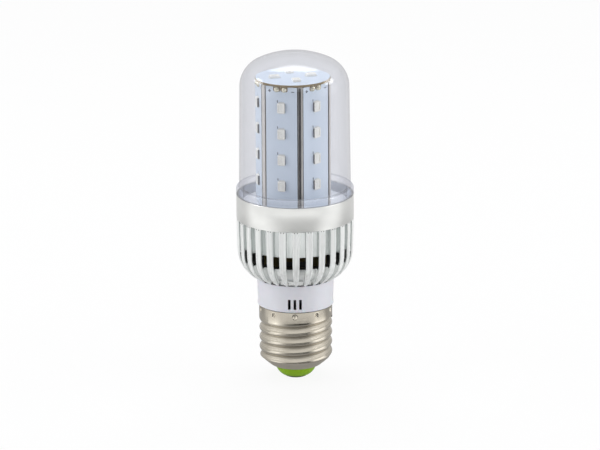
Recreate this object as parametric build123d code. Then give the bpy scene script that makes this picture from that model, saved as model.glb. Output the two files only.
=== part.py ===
from build123d import *

import os
from math import acos, atan2, cos, degrees, pi, radians, sin, sqrt, tan

# LED bulb: a clear cover over a six-sided LED column, on a finned die-cast heat sink,
# a plastic base cup and an E27 screw cap. Millimetres, axis on Z, cap down.
# The origin is on the axis at the bottom of the centre contact. The front faces -Y.

# Heights along the axis, from the centre contact upwards
contact_height = 0.55
insulator_height = 4.25
shell_height = 22.55
rim_gap = 0.4
neck_height = 9.9
fin_height = 22.05
band_height = 8.7
flange_height = 2.8
cover_side_height = 36.5

# Screw shell: rolled sheet with an E27 knuckle thread
sheet = 0.35
skirt_radius = 13.2
skirt_height = 5.35
thread_depth = 0.88
crest_draw = 0.05
thread_pitch = 3.63
thread_root_land = 0.75
shoulder_height = 3.5
tip_radius = 9.2
tip_hole_radius = 7.0

# Crimp dents that lock the shell on the base cup
dent_count = 10
dent_radius = 0.75
dent_depth = 0.6
dent_drop = 1.55

# Insulator and centre contact
insulator_tip_radius = 4.6
insulator_flange = 1.2
contact_radius = 4.2
contact_flat_radius = 3.8
pin_radius = 0.95
pin_height = 7.0

# Base cup, white plastic
neck_step = 0.65
neck_draw = 0.3
lip_draw = 0.15
lip_height = 0.6
cup_wall = 1.25
cup_tail_gap = 4.7
spigot_height = 3.0
seat_width = 1.95

# Vent slots in the neck, one group in front and one behind
vent_count = 3
vent_width = 0.95
vent_height = 3.75
vent_pitch = 2.0
vent_corner = 0.2
base_turn = -1.2
vent_sill = 1.0

# Heat sink, one aluminium casting with a turned band
body_radius = 21.0
fin_count = 27
fin_turn = 0.65
fin_draft = 0.25
draft_height = 4.0
slot_width = 2.3
slot_depth = 1.75
wall = 1.6
sweep_height = 10.55
foot_lip = 0.4
window_height = 4.15
window_drop = 9.9
fin_skin = 0.55
deck_thickness = 2.5
cup_depth = 3.1

# Clear cover
cover_step = 1.05
cover_draft = 0.47
cover_wall = 1.3
corner_radius = 10.3
crown_radius = 31.9
flange_round = 0.7
gate_radius = 0.7
gate_height = 0.2

# LED column, boards and LEDs
column_gap = 4.3
column_turn = 11.3
column_offset = -0.6
column_wall = 1.3
corner_flat = 1.8
port_radius = 2.3
board_thickness = 0.8
top_board_draw = 0.95
head_room = 7.6
led_rows = 4
led_foot_margin = 8.9
led_top_margin = 7.7
led_width = 2.8
led_length = 3.5
led_thickness = 0.8
led_wall = 0.35
led_well = 0.3
terminal_width = 2.2
terminal_length = 0.4
terminal_thickness = 0.15
top_led_count = 4
top_led_share = 0.49
joint_width = 1.7
joint_height = 2.1
joint_pitch = 2.8

# Screws that hold the column down
screw_radius = 1.45
screw_length = 8.0
screw_head_radius = 2.6
screw_head_height = 1.6

# Driver board and its parts
driver_thickness = 1.6
driver_drop = 4.8
driver_seat = 1.5
groove_depth = 0.7
input_cap_share = 0.82
input_cap_reach = 0.44
input_cap_drop = 1.0
output_cap_share = 0.65
output_cap_length = 9.0
core_share = 0.93
core_width = 12.0
core_height = 12.0
core_limb = 2.5
fuse_radius = 1.6
fuse_length = 8.0
rectifier_size = (4.7, 2.4, 3.9)
chip_size = (3.9, 1.5, 4.9)
chip_drop = 6.0

# Leads
lead_radius = 0.45
led_lead_radius = 0.6
led_lead_share = 0.234
lead_lap = 3.0
shell_lead_share = 0.57

# Named clearances
cover_fit = 0.12
spigot_fit = 0.1
core_fit = 0.08
board_fit = 0.1
screw_fit = 0.05
hole_fit = 0.3
part_gap = 0.1
cut = 1.0

# Levels worked out from the heights
insulator_foot = contact_height
shell_foot = insulator_foot + insulator_height
shell_top = shell_foot + shell_height
cup_foot = shell_top + rim_gap
sink_foot = cup_foot + neck_height
band_foot = sink_foot + fin_height
band_top = band_foot + band_height
flange_top = band_top + flange_height
side_top = flange_top + cover_side_height
skirt_foot = shell_top - skirt_height
cup_tail = shell_foot + cup_tail_gap
deck_top = band_top - cup_depth
deck_foot = deck_top - deck_thickness

# Radii worked out from the driving sizes
thread_root = skirt_radius - crest_draw - thread_depth
core_radius = thread_root - sheet - core_fit
skirt_core_radius = skirt_radius - sheet - core_fit
cup_bore_radius = core_radius - cup_wall
neck_top_radius = skirt_radius + neck_step
neck_waist_radius = neck_top_radius - neck_draw
lip_radius = neck_top_radius - lip_draw
foot_radius = neck_top_radius + foot_lip
fin_radius = body_radius - fin_draft
seat_radius = neck_top_radius - seat_width
cover_radius = body_radius - cover_step
cover_bore = cover_radius - cover_wall
cover_top_radius = cover_radius - cover_draft
cup_bore = cover_radius + cover_fit
rib_half = (thread_pitch - thread_root_land) / 2

# The fins sweep in to the foot on one arc that starts upright
sweep_in = fin_radius - foot_radius
sweep_radius = (sweep_in**2 + sweep_height**2) / (2 * sweep_in)
sweep_centre = fin_radius - sweep_radius
sweep_top = sink_foot + sweep_height
draft_top = band_foot - draft_height

# Top of the cover: a corner arc and a crown arc that meet in one tangent
corner_centre = cover_top_radius - corner_radius
crown_drop = sqrt((crown_radius - corner_radius) ** 2 - corner_centre**2)
crown_centre = side_top - crown_drop
apex = crown_centre + crown_radius

# LED column
column_radius = cover_bore - column_gap
top_board_radius = column_radius - top_board_draw
top_led_radius = top_board_radius * top_led_share
column_top = apex - cover_wall - head_room - board_thickness
column_height = column_top - deck_top
face_distance = column_radius * cos(pi / 6)
board_width = column_radius - corner_flat / cos(pi / 6)
port_distance = face_distance - board_thickness - column_wall - port_radius * 0.65
face_angles = [column_turn + 60 * k for k in range(6)]
port_angles = [face_angles[1], face_angles[4]]

# Driver board
driver_foot = cup_tail + driver_seat
driver_top = deck_foot - driver_drop
driver_face = driver_thickness / 2
driver_room = cup_bore_radius - driver_face - part_gap
input_cap_radius = driver_room * input_cap_share / 2
output_cap_radius = driver_room * output_cap_share / 2
core_depth = driver_room * core_share
input_cap_length = (sink_foot - driver_foot) * input_cap_reach
input_cap_foot = sink_foot - input_cap_drop - input_cap_length
stack_gap = (input_cap_foot - driver_foot - lead_lap - rectifier_size[2] - 2 * fuse_radius) / 3
rectifier_foot = input_cap_foot - stack_gap - rectifier_size[2]
fuse_foot = driver_foot + lead_lap + stack_gap
core_foot = driver_top - lead_lap - core_height
led_lead_offset = column_radius * led_lead_share


def turned(*outline):
    """A solid of revolution from a closed outline in (radius, height)."""
    return revolve(Plane.XZ * make_face(outline), Axis.Z)


def lathe(points):
    """A solid of revolution from the corners of its outline."""
    return turned(*Polyline(*points, close=True).edges())


def chain(points):
    """Straight edges from point to point."""
    return [Line(a, b) for a, b in zip(points, points[1:])]


def arc_about(centre, radius, start, end):
    """An arc about a centre, between two angles in degrees."""
    def at(angle):
        return (centre[0] + radius * cos(radians(angle)), centre[1] + radius * sin(radians(angle)))
    return ThreePointArc(at(start), at((start + end) / 2), at(end))


def polar(radius, angle):
    return (radius * cos(radians(angle)), radius * sin(radians(angle)))


def upright(x, y, foot, radius, height):
    """An upright cylinder standing at (x, y, foot)."""
    return Pos(x, y, foot) * Cylinder(radius, height, align=(Align.CENTER, Align.CENTER, Align.MIN))


def block(x, y, foot, width, depth, height):
    """A box centred at (x, y) and standing on foot."""
    return Pos(x, y, foot) * Box(width, depth, height, align=(Align.CENTER, Align.CENTER, Align.MIN))


def face_plane(angle, distance, height):
    """A plane on an upright face: local x runs along the face and local y runs up."""
    a = radians(angle)
    return Plane(
        origin=(distance * cos(a), distance * sin(a), height),
        x_dir=(-sin(a), cos(a), 0),
        z_dir=(cos(a), sin(a), 0),
    )


def on_column(shape):
    """Moves a shape built about the axis to the column's own centre line."""
    return Pos(column_offset, 0, 0) * shape


# Screw cap

def thread_rib(radius, foot, top):
    """The helical rib on a cylinder, its round crest drawn as five flats."""
    turns = (top - foot) / thread_pitch
    path = Helix(thread_pitch, top - foot, radius)
    outline = Polyline(
        (-sheet, -rib_half),
        (0, -rib_half),
        (thread_depth * 0.69, -rib_half * 0.66),
        (thread_depth, -rib_half * 0.24),
        (thread_depth, rib_half * 0.24),
        (thread_depth * 0.69, rib_half * 0.66),
        (0, rib_half),
        (-sheet, rib_half),
        close=True,
    )
    section = Plane(origin=path @ 0, x_dir=(1, 0, 0), z_dir=path % 0) * make_face(outline)
    rib = sweep(section, path=path, is_frenet=True)
    # the crest passes the left side, at 180 degrees, level with the foot of the skirt
    start_angle = 180 - 360 * (skirt_foot - foot) / thread_pitch
    return Pos(0, 0, foot) * Rot(0, 0, start_angle) * rib


def shell_core(inset):
    """The shell without its thread: shoulder, threaded length and skirt, drawn in by inset."""
    root = thread_root - inset
    skirt = skirt_radius - inset
    foot = shell_foot + inset
    slope = shoulder_height / (skirt_radius - tip_radius)
    step = (skirt - root) / 2
    tip = tip_radius - inset * 0.6
    return lathe([(0, foot), (tip, foot), (root, foot + (root - tip) * slope), (root, skirt_foot - step),
                  (skirt, skirt_foot + step), (skirt, shell_top), (0, shell_top)])


def crimp_dents(radius, depth, growth):
    """Punch marks round the skirt, each a cone that points at the axis."""
    height = shell_top - dent_drop
    marks = []
    for k in range(dent_count):
        place = face_plane(base_turn - 90 + 360 * k / dent_count, radius - depth, height)
        cone = Cone(0.1 + growth, dent_radius + growth, depth, align=(Align.CENTER, Align.CENTER, Align.MIN))
        marks.append(place * cone)
    return marks


def make_screw_shell():
    thread = thread_rib(thread_root, shell_foot + thread_depth, skirt_foot + rib_half)
    shoulder = lathe([(0, shell_foot), (tip_radius, shell_foot), (skirt_radius, shell_foot + shoulder_height),
                      (skirt_radius, shell_top), (0, shell_top)])
    shell = shell_core(0) + (thread & shoulder) - shell_core(sheet)
    shell -= upright(0, 0, shell_foot - cut, tip_hole_radius, sheet + 2 * cut)
    inner = skirt_radius - sheet
    shell += crimp_dents(inner + sheet / 2, dent_depth, sheet * 0.6)
    return shell - crimp_dents(skirt_radius + 0.01, dent_depth, 0)


def make_insulator():
    """Snap-in plug: a convex body below the shell's edge and a flange inside it."""
    body = tip_hole_radius - part_gap
    ledge = shell_foot + sheet
    bore = pin_radius + part_gap
    foot = insulator_foot
    side = ThreePointArc(
        (insulator_tip_radius, foot),
        ((insulator_tip_radius + body) / 2 + 0.2, foot + insulator_height * 0.42),
        (body, shell_foot),
    )
    top = ledge + insulator_flange
    rest = chain([(body, shell_foot), (body, ledge), (body + 1.2, ledge), (body + 1.2, top), (bore, top), (bore, foot),
                  (insulator_tip_radius, foot)])
    return turned(side, *rest)


def make_centre_contact():
    dome = TangentArc((contact_flat_radius, 0), (contact_radius, contact_height), tangent=(1, 0))
    rest = chain([(contact_radius, contact_height), (pin_radius, contact_height), (pin_radius, pin_height), (0, pin_height),
                  (0, 0), (contact_flat_radius, 0)])
    return turned(dome, *rest)


# Base cup

def make_base_cup():
    groove_top = shell_top - dent_drop + dent_radius + sheet * 0.6 + part_gap
    groove_foot = shell_top - dent_drop - dent_radius - sheet * 0.6 - part_gap
    groove_floor = skirt_radius - dent_depth - sheet * 0.5 - core_fit - 0.3
    step = skirt_core_radius - core_radius
    waist = cup_foot + lip_height * 3
    cup = lathe([
        (neck_top_radius, sink_foot),
        (neck_waist_radius, waist),
        (neck_waist_radius, cup_foot + lip_height),
        (lip_radius, cup_foot + lip_height * 0.6),
        (lip_radius, cup_foot),
        (skirt_core_radius, cup_foot),
        (skirt_core_radius, groove_top),
        (groove_floor, groove_top),
        (groove_floor, groove_foot),
        (skirt_core_radius, groove_foot),
        (skirt_core_radius, skirt_foot + step / 2 + sheet),
        (core_radius, skirt_foot - step / 2 + sheet),
        (core_radius, cup_tail),
        (cup_bore_radius, cup_tail),
        (cup_bore_radius, sink_foot + spigot_height),
        (seat_radius - spigot_fit, sink_foot + spigot_height),
        (seat_radius - spigot_fit, sink_foot),
    ])
    groove = block(0, 0, driver_foot, 2 * (cup_bore_radius + groove_depth), driver_thickness + 2 * part_gap,
                   sink_foot + spigot_height + cut - driver_foot)
    return cup - groove - vent_slots()


def vent_slots():
    """Slots with eased corners through the neck's wall, in front and behind."""
    middle = cup_foot + vent_sill + vent_height / 2
    slot = extrude(RectangleRounded(vent_width, vent_height, vent_corner), neck_top_radius + cut)
    slots = []
    for side in (-90, 90):
        for k in range(vent_count):
            shift = (k - (vent_count - 1) / 2) * vent_pitch
            place = face_plane(side + base_turn, 0, middle)
            slots.append(place * Pos(shift, 0, cup_bore_radius / 2) * slot)
    return slots


# Heat sink

def sweep_angle(radius, inset):
    """Where the sweep arc, drawn in by inset, passes a radius, in degrees below level."""
    drawn = sweep_radius - inset
    return degrees(acos((radius - sweep_centre) / drawn))


def sweep_arc(radius, inset):
    """The sweep arc from a radius near the foot up to the straight side."""
    return arc_about((sweep_centre, sweep_top), sweep_radius - inset, -sweep_angle(radius, inset), 0)


def make_heatsink():
    casting = sink_body()
    casting -= vent_groove()
    casting -= fin_slots()
    return casting - deck_holes()


def sink_body():
    """The casting before its slots: fins' outline, turned band, cup, deck and driver space."""
    inset = slot_depth + wall
    bore = fin_radius - inset
    outside = sweep_arc(foot_radius, 0)
    inside = sweep_arc(seat_radius, inset)
    outside_rest = chain([
        outside @ 1, (body_radius, draft_top), (body_radius, band_top), (cup_bore, band_top), (cup_bore, deck_top),
        (0, deck_top), (0, deck_foot), (bore, deck_foot), (bore, sweep_top),
    ])
    seat = chain([inside @ 0, (seat_radius, sink_foot), outside @ 0])
    return turned(outside, *outside_rest, inside, *seat)


def fin_slots():
    """Parallel-sided slots whose floor follows the fins' outline at one depth."""
    inner = neck_top_radius - foot_lip
    floor = sweep_arc(inner - cut, slot_depth)
    foot = floor @ 0
    core = turned(floor, *chain([
        floor @ 1, (body_radius - slot_depth, draft_top), (body_radius - slot_depth, band_foot + cut), (0, band_foot + cut),
        (0, foot.Y), foot,
    ]))
    length = body_radius + cut - inner
    slots = []
    for k in range(fin_count):
        angle = fin_turn - 90 + 360 * (k + 0.5) / fin_count
        slot = Pos(inner + length / 2, 0, sink_foot - cut) * Box(
            length, slot_width, fin_height + cut, align=(Align.CENTER, Align.CENTER, Align.MIN))
        slots.append(Rot(0, 0, angle) * slot - core)
    return slots


def vent_groove():
    """A ring turned inside the casting, which opens a window in the floor of every slot."""
    top = band_foot - window_drop
    inside = fin_radius - slot_depth - wall - cut
    return lathe([(inside, top - window_height), (fin_radius - fin_skin, top - window_height),
                  (fin_radius - fin_skin, top), (inside, top)])


def deck_holes():
    """Holes in the deck for the column's screws and the LED leads."""
    holes = []
    for angle in port_angles:
        x, y = polar(port_distance, angle)
        hole = upright(x, y, deck_foot - cut, screw_radius + hole_fit, deck_thickness + 2 * cut)
        holes.append(on_column(hole))
    for side in (-1, 1):
        holes.append(upright(side * led_lead_offset, led_lead_y(), deck_foot - cut, led_lead_radius + hole_fit,
                             deck_thickness + 2 * cut))
    return holes


# Clear cover

def cover_line(inset):
    """Side, corner and crown of the cover, from the flange to the apex."""
    side = cover_top_radius - inset
    join = degrees(atan2(crown_drop, corner_centre))
    return [
        Line((cover_radius - inset, flange_top), (side, side_top)),
        arc_about((corner_centre, side_top), corner_radius - inset, 0, join),
        arc_about((0, crown_centre), crown_radius - inset, join, 90),
    ]


def make_clear_cover():
    spigot_foot = deck_top + part_gap
    low = chain([
        (0, apex), (0, apex - cover_wall),
    ])
    outside = chain([
        (cover_bore, flange_top), (cover_bore, spigot_foot), (cover_radius, spigot_foot), (cover_radius, band_top),
        (body_radius, band_top), (body_radius, flange_top - flange_round),
    ])
    rounding = arc_about((body_radius - flange_round, flange_top - flange_round), flange_round, 0, 90)
    ledge = Line((body_radius - flange_round, flange_top), (cover_radius, flange_top))
    cover = turned(*cover_line(0), *low, *cover_line(cover_wall), *outside, rounding, ledge)
    return cover + upright(0, 0, apex - cover_wall / 2, gate_radius, cover_wall / 2 + gate_height)


# LED column

def make_led_column():
    """Extruded six-sided tube: flat corners, a channel for a board on each face, two screw ports."""
    flat_reach = column_radius - corner_flat / 2 * tan(pi / 6)
    flat_radius = sqrt(flat_reach**2 + corner_flat**2 / 4)
    half_angle = degrees(atan2(corner_flat / 2, flat_reach))
    outline = []
    for angle in face_angles:
        outline += [polar(flat_radius, angle + 30 - half_angle), polar(flat_radius, angle + 30 + half_angle)]
    inner_radius = (face_distance - board_thickness - column_wall) / cos(pi / 6)
    inner = [polar(inner_radius, angle + 30) for angle in face_angles]
    section = make_face(Polyline(*outline, close=True)) - make_face(Polyline(*inner, close=True))
    for angle in port_angles:
        section += Pos(*polar(port_distance, angle)) * Circle(port_radius)
    for angle in port_angles:
        section -= Pos(*polar(port_distance, angle)) * Circle(screw_radius + screw_fit)
    for angle in face_angles:
        channel = Rectangle(2 * board_thickness, board_width + 2 * board_fit)
        section -= Rot(0, 0, angle) * Pos(face_distance, 0) * channel
    return on_column(Pos(0, 0, deck_top) * extrude(section, column_height))


def make_column_screw(angle):
    x, y = polar(port_distance, angle)
    head = upright(x, y, deck_foot - screw_head_height, screw_head_radius, screw_head_height)
    slot = block(x, y, deck_foot - screw_head_height, 2 * screw_head_radius + cut, 0.7, 0.6)
    return on_column(head - slot + upright(x, y, deck_foot - 0.1, screw_radius, screw_length + 0.1))


def make_side_board(angle):
    """Board flush in its channel, standing on the deck."""
    plate = Box(board_width, column_height, board_thickness, align=(Align.CENTER, Align.MIN, Align.MAX))
    return on_column(face_plane(angle, face_distance, deck_top) * plate)


def led_package():
    """One LED on a board's face: its case with a well, and a terminal at each end."""
    standing = (Align.CENTER, Align.CENTER, Align.MIN)
    hanging = (Align.CENTER, Align.CENTER, Align.MAX)
    case = Box(led_width, led_length, led_thickness, align=standing)
    well = Box(led_width - 2 * led_wall, led_length - 2 * led_wall, led_well, align=hanging)
    led = case - Pos(0, 0, led_thickness) * well
    for end in (-1, 1):
        terminal = Box(terminal_width, terminal_length, terminal_thickness, align=standing)
        led += Pos(0, end * (led_length + terminal_length) / 2, 0) * terminal
    return led


def make_side_leds(angle):
    first = deck_top + led_foot_margin
    pitch = (column_height - led_foot_margin - led_top_margin) / (led_rows - 1)
    led = led_package()
    rows = [first + pitch * row for row in range(led_rows)]
    return Compound([on_column(face_plane(angle, face_distance, height) * led) for height in rows])


def make_top_board():
    return on_column(upright(0, 0, column_top, top_board_radius, board_thickness))


def make_top_leds():
    led = led_package()
    ring = []
    for k in range(top_led_count):
        x, y = polar(top_led_radius, column_turn - 90 + 360 * k / top_led_count)
        turned_led = Rot(0, 0, column_turn + 360 * k / top_led_count) * led
        ring.append(on_column(Pos(x, y, column_top + board_thickness) * turned_led))
    return Compound(ring)


def make_corner_solder():
    """Two solder joints on each side board, in the corner below the top board."""
    reach = (top_board_radius - face_distance) * 0.85
    outline = Polyline((0, 0), (0, -joint_height), (reach * 0.45, -joint_height * 0.85), (reach, -joint_height * 0.3),
                       (reach, 0), close=True)
    joint = extrude(make_face(outline), joint_width / 2, both=True)
    joints = []
    for angle in face_angles:
        for side in (-1, 1):
            place = face_plane(angle, face_distance, column_top) * Pos(side * joint_pitch / 2, 0, 0)
            joints.append(on_column(place * Rot(0, -90, 0) * joint))
    return Compound(joints)


# Driver

def make_driver_board():
    width = 2 * (cup_bore_radius + groove_depth - part_gap)
    return block(0, 0, driver_foot, width, driver_thickness, driver_top - driver_foot)


def lying_can(side, foot, radius, length):
    """An upright can that lies along the board, on its front (-1) or back (1)."""
    return upright(0, side * (driver_face + radius + part_gap), foot, radius, length)


def make_transformer_core():
    """Ferrite frame round the winding."""
    y = -driver_face - part_gap - core_depth / 2
    frame = block(0, y, core_foot, core_width, core_depth * 0.6, core_height)
    window = block(0, y, core_foot + core_limb, core_width - 2 * core_limb, core_depth, core_height - 2 * core_limb)
    return frame - window + block(0, y, core_foot, core_limb, core_depth * 0.6, core_height)


def make_transformer_winding():
    y = -driver_face - part_gap - core_depth / 2
    foot = core_foot + core_limb
    width = core_width - 2 * core_limb - 2 * part_gap
    height = core_height - 2 * core_limb - 2 * part_gap
    coil = block(0, y, foot + part_gap, width, core_depth, height)
    coil = fillet(coil.edges().filter_by(Axis.Z), 1.2)
    limb = block(0, y, foot - cut, core_limb + 2 * part_gap, core_depth * 0.6 + 2 * part_gap, core_height)
    return coil - limb


def make_fuse_resistor():
    y = -driver_face - fuse_radius - part_gap
    return Pos(0, y, fuse_foot + fuse_radius) * Rot(0, 90, 0) * Cylinder(fuse_radius, fuse_length)


def chip(side, foot, size):
    """A moulded chip flat on the board, on its front (-1) or back (1)."""
    width, depth, height = size
    return block(0, side * (driver_face + depth / 2), foot, width, depth, height)


def make_lead(points, radius, bend):
    """A round lead along straight runs with tangent bends."""
    path = FilletPolyline(*points, radius=bend)
    section = Plane(origin=path @ 0, z_dir=path % 0) * Circle(radius)
    return sweep(section, path=path)


def make_contact_lead():
    y = -driver_face - lead_radius - part_gap / 2
    rise = driver_foot - pin_height
    return make_lead([(0, 0, pin_height), (0, 0, pin_height + rise * 0.4), (0, y, driver_foot - rise * 0.2),
                      (0, y, driver_foot + lead_lap)], lead_radius, 1.0)


def make_shell_lead():
    """From the back of the board down past the cup's end and out to the shell."""
    x = -cup_bore_radius * shell_lead_share
    y = driver_face + lead_radius + part_gap / 2
    low = cup_tail - 3 * lead_radius
    out = core_radius - 4 * part_gap
    return make_lead([(x, y, driver_foot + lead_lap), (x, y, low), (-out, y, low)], lead_radius, 1.2)


def led_lead_y():
    return -driver_face - led_lead_radius - part_gap / 2


def make_led_lead(side):
    """Soldered to the driver board, then up through the deck and the column to the top board."""
    foot = driver_top - lead_lap
    return upright(side * led_lead_offset, led_lead_y(), foot, led_lead_radius, column_top - foot)


def build():
    parts = {
        "clear_cover": make_clear_cover(),
        "heatsink": make_heatsink(),
        "base_cup": make_base_cup(),
        "screw_shell": make_screw_shell(),
        "insulator": make_insulator(),
        "centre_contact": make_centre_contact(),
        "led_column": make_led_column(),
        "top_board": make_top_board(),
        "top_leds": make_top_leds(),
        "corner_solder": make_corner_solder(),
        "column_screws": Compound([make_column_screw(angle) for angle in port_angles]),
        "driver_board": make_driver_board(),
        "input_capacitor": lying_can(-1, input_cap_foot, input_cap_radius, input_cap_length),
        "output_capacitor": lying_can(1, core_foot, output_cap_radius, output_cap_length),
        "transformer_core": make_transformer_core(),
        "transformer_winding": make_transformer_winding(),
        "bridge_rectifier": chip(-1, rectifier_foot, rectifier_size),
        "driver_chip": chip(1, sink_foot - chip_drop, chip_size),
        "fuse_resistor": make_fuse_resistor(),
        "contact_lead": make_contact_lead(),
        "shell_lead": make_shell_lead(),
        "led_lead_plus": make_led_lead(1),
        "led_lead_minus": make_led_lead(-1),
    }
    for k, angle in enumerate(face_angles, start=1):
        parts[f"side_board_{k}"] = make_side_board(angle)
        parts[f"side_leds_{k}"] = make_side_leds(angle)
    return parts


os.makedirs("parts", exist_ok=True)
for name, part in build().items():
    export_step(part, f"parts/{name}.step")
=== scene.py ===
from math import acos, asin, atan2, cos, degrees, hypot, pi, radians, sin, sqrt

import bpy
from mathutils import Matrix, Vector

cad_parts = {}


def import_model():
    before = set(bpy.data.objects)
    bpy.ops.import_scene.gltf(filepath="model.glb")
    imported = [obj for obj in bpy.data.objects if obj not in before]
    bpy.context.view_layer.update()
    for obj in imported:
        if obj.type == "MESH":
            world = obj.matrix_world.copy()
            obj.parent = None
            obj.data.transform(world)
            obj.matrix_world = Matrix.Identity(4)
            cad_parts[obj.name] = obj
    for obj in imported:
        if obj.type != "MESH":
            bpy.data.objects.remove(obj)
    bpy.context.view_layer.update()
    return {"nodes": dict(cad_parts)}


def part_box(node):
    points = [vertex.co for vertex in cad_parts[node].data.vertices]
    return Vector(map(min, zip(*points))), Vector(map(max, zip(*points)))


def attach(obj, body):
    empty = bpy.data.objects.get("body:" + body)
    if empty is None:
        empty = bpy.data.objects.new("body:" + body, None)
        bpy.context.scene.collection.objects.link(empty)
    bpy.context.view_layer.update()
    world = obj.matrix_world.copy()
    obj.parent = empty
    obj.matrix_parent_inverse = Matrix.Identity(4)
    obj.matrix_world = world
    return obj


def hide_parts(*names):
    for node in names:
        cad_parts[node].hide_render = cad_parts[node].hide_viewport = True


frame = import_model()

MM = 0.001

# Sizes in millimetres, shared with the solids
HEATSINK_FOOT = 37.65
BAND_FOOT = 59.7
BAND_TOP = 68.4
FLANGE_TOP = 71.2
SIDE_TOP = 107.7
DECK_TOP = 65.3
DECK_FOOT = 62.8
COLUMN_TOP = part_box("top_board")[0].z / MM
GATE_HEIGHT = 0.2
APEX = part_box("clear_cover")[1].z / MM - GATE_HEIGHT
BODY_RADIUS = 21.0
COVER_RADIUS = 19.95
COVER_TOP_RADIUS = 19.48
COVER_WALL = 1.3
COVER_FIT = 0.12
CORNER_RADIUS = 10.3
CROWN_RADIUS = 31.9
RIM_RADIUS = 0.7

FIN_COUNT = 27
FIN_TURN = 0.65
FIN_SKIN = 0.55
SLOT_WIDTH = 2.3
SLOT_DEPTH = 1.75
CAST_WALL = 1.6
FIN_RADIUS = 20.75
FOOT_RADIUS = 14.25
SWEEP_HEIGHT = 10.55
DRAFT_TOP = 55.7
WINDOW_TOP = 49.8
WINDOW_FOOT = 45.65
BORE_FOOT_RADIUS = 11.9

SHELL_TOP = 27.35
SHELL_FOOT = 4.8
SKIRT_FOOT = 22.0
SKIRT_RADIUS = 13.2
THREAD_RADIUS = 13.15
THREAD_DEPTH = 0.88
THREAD_PITCH = 3.63
SHOULDER_HEIGHT = 3.5
TIP_RADIUS = 9.2
TIP_HOLE_RADIUS = 7.0
SHEET = 0.35
DENT_COUNT = 10
DENT_DROP = 1.55
DENT_DEPTH = 0.6
DENT_HALF_WIDTH = 0.78
DENT_HALF_HEIGHT = 1.0
BASE_TURN = -1.2

COLUMN_RADIUS = 14.35
COLUMN_TURN = 11.3
COLUMN_OFFSET = -0.6
BOARD_THICKNESS = 0.8
BOARD_WIDTH = 11.75
TOP_BOARD_RADIUS = 13.38
FACE_DISTANCE = COLUMN_RADIUS * cos(pi / 6)
LED_SIZE = (2.8, 3.5, 0.8)
LED_ROWS = 4
FIRST_LED_RISE = 8.9
LAST_LED_DROP = 7.7
TOP_LED_RADIUS = 6.6
SIGN_DROP = 1.7
SIGN_REACH = 4.3


# Mesh building

def arc(centre, radius, start, end, steps):
    """Points of an arc about a centre, between two angles in degrees."""
    angles = [radians(start + (end - start) * k / steps) for k in range(steps + 1)]
    return [(centre[0] + radius * cos(a), centre[1] + radius * sin(a)) for a in angles]


def polar(radius, angle):
    """The point at a radius and an angle in degrees."""
    return (radius * cos(radians(angle)), radius * sin(radians(angle)))


def make_object(name, mesh, materials, smooth=40):
    """Adds a mesh to the scene as a piece that rides on the part."""
    piece = bpy.data.objects.new(name, mesh)
    bpy.context.collection.objects.link(piece)
    for material in materials:
        mesh.materials.append(material)
    for face in mesh.polygons:
        face.use_smooth = True
    mesh.set_sharp_from_angle(angle=radians(smooth))
    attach(piece, "root")
    return piece


def mesh_from(name, vertices, faces, tags=None):
    """A mesh from points in millimetres. tags gives the material index of each face."""
    mesh = bpy.data.meshes.new(name)
    mesh.from_pydata([Vector(v) * MM for v in vertices], [], faces)
    if tags:
        for face, tag in zip(mesh.polygons, tags):
            face.material_index = tag
    mesh.validate()
    mesh.update()
    return mesh


def flat(points):
    """One face through the points, as (vertices, faces)."""
    return points, [list(range(len(points)))]


def between(low, high):
    """The faces between two rings with the same number of points."""
    count = len(low)
    return [[low[k], low[(k + 1) % count], high[(k + 1) % count], high[k]] for k in range(count)]


def lathe(name, outline, steps=160, closed=True):
    """A surface of revolution from (radius, height) points; points on the axis are closed."""
    vertices = []
    rings = []
    for r, z in outline:
        if r < 1e-6:
            rings.append([len(vertices)] * steps)
            vertices.append((0, 0, z))
            continue
        rings.append(list(range(len(vertices), len(vertices) + steps)))
        vertices += [(*polar(r, 360 * k / steps), z) for k in range(steps)]
    pairs = list(zip(rings, rings[1:]))
    if closed:
        pairs.append((rings[-1], rings[0]))
    faces = []
    for low, high in pairs:
        corners = [list(dict.fromkeys(face)) for face in between(low, high)]
        faces += [face for face in corners if len(face) > 2]
    return mesh_from(name, vertices, faces)


def turned_piece(name, outline, steps, material, smooth=40, closed=False):
    return make_object(name, lathe(name, outline, steps, closed), [material], smooth)


def round_corners(points, radius, steps=4):
    """A closed outline with each corner rounded, as a bevelled edge looks."""
    rounded = []
    count = len(points)
    for k in range(count):
        before, here, after = (Vector(points[(k + d) % count]) for d in (-1, 0, 1))
        a, b = before - here, after - here
        reach = min(radius, a.length * 0.45, b.length * 0.45)
        start = here + a.normalized() * reach
        end = here + b.normalized() * reach
        for s in range(steps + 1):
            t = s / steps
            rounded.append(tuple(start * (1 - t) ** 2 + here * 2 * t * (1 - t) + end * t ** 2))
    return rounded


def prism(outline, low, high, bevel=0.08):
    """An upright prism with softened top and bottom edges, as (vertices, faces)."""
    centre = sum((Vector(p) for p in outline), Vector((0, 0))) / len(outline)
    levels = [(low, bevel), (low + bevel, 0), (high - bevel, 0), (high, bevel)]
    vertices = []
    for z, inset in levels:
        for p in outline:
            away = Vector(p) - centre
            q = centre + away * (1 - inset / max(away.length, 1e-6))
            vertices.append((q.x, q.y, z))
    n = len(outline)
    rings = [range(n * level, n * (level + 1)) for level in range(len(levels))]
    faces = [list(reversed(rings[0])), list(rings[-1])]
    for lower, upper in zip(rings, rings[1:]):
        faces += between(lower, upper)
    return vertices, faces


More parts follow.
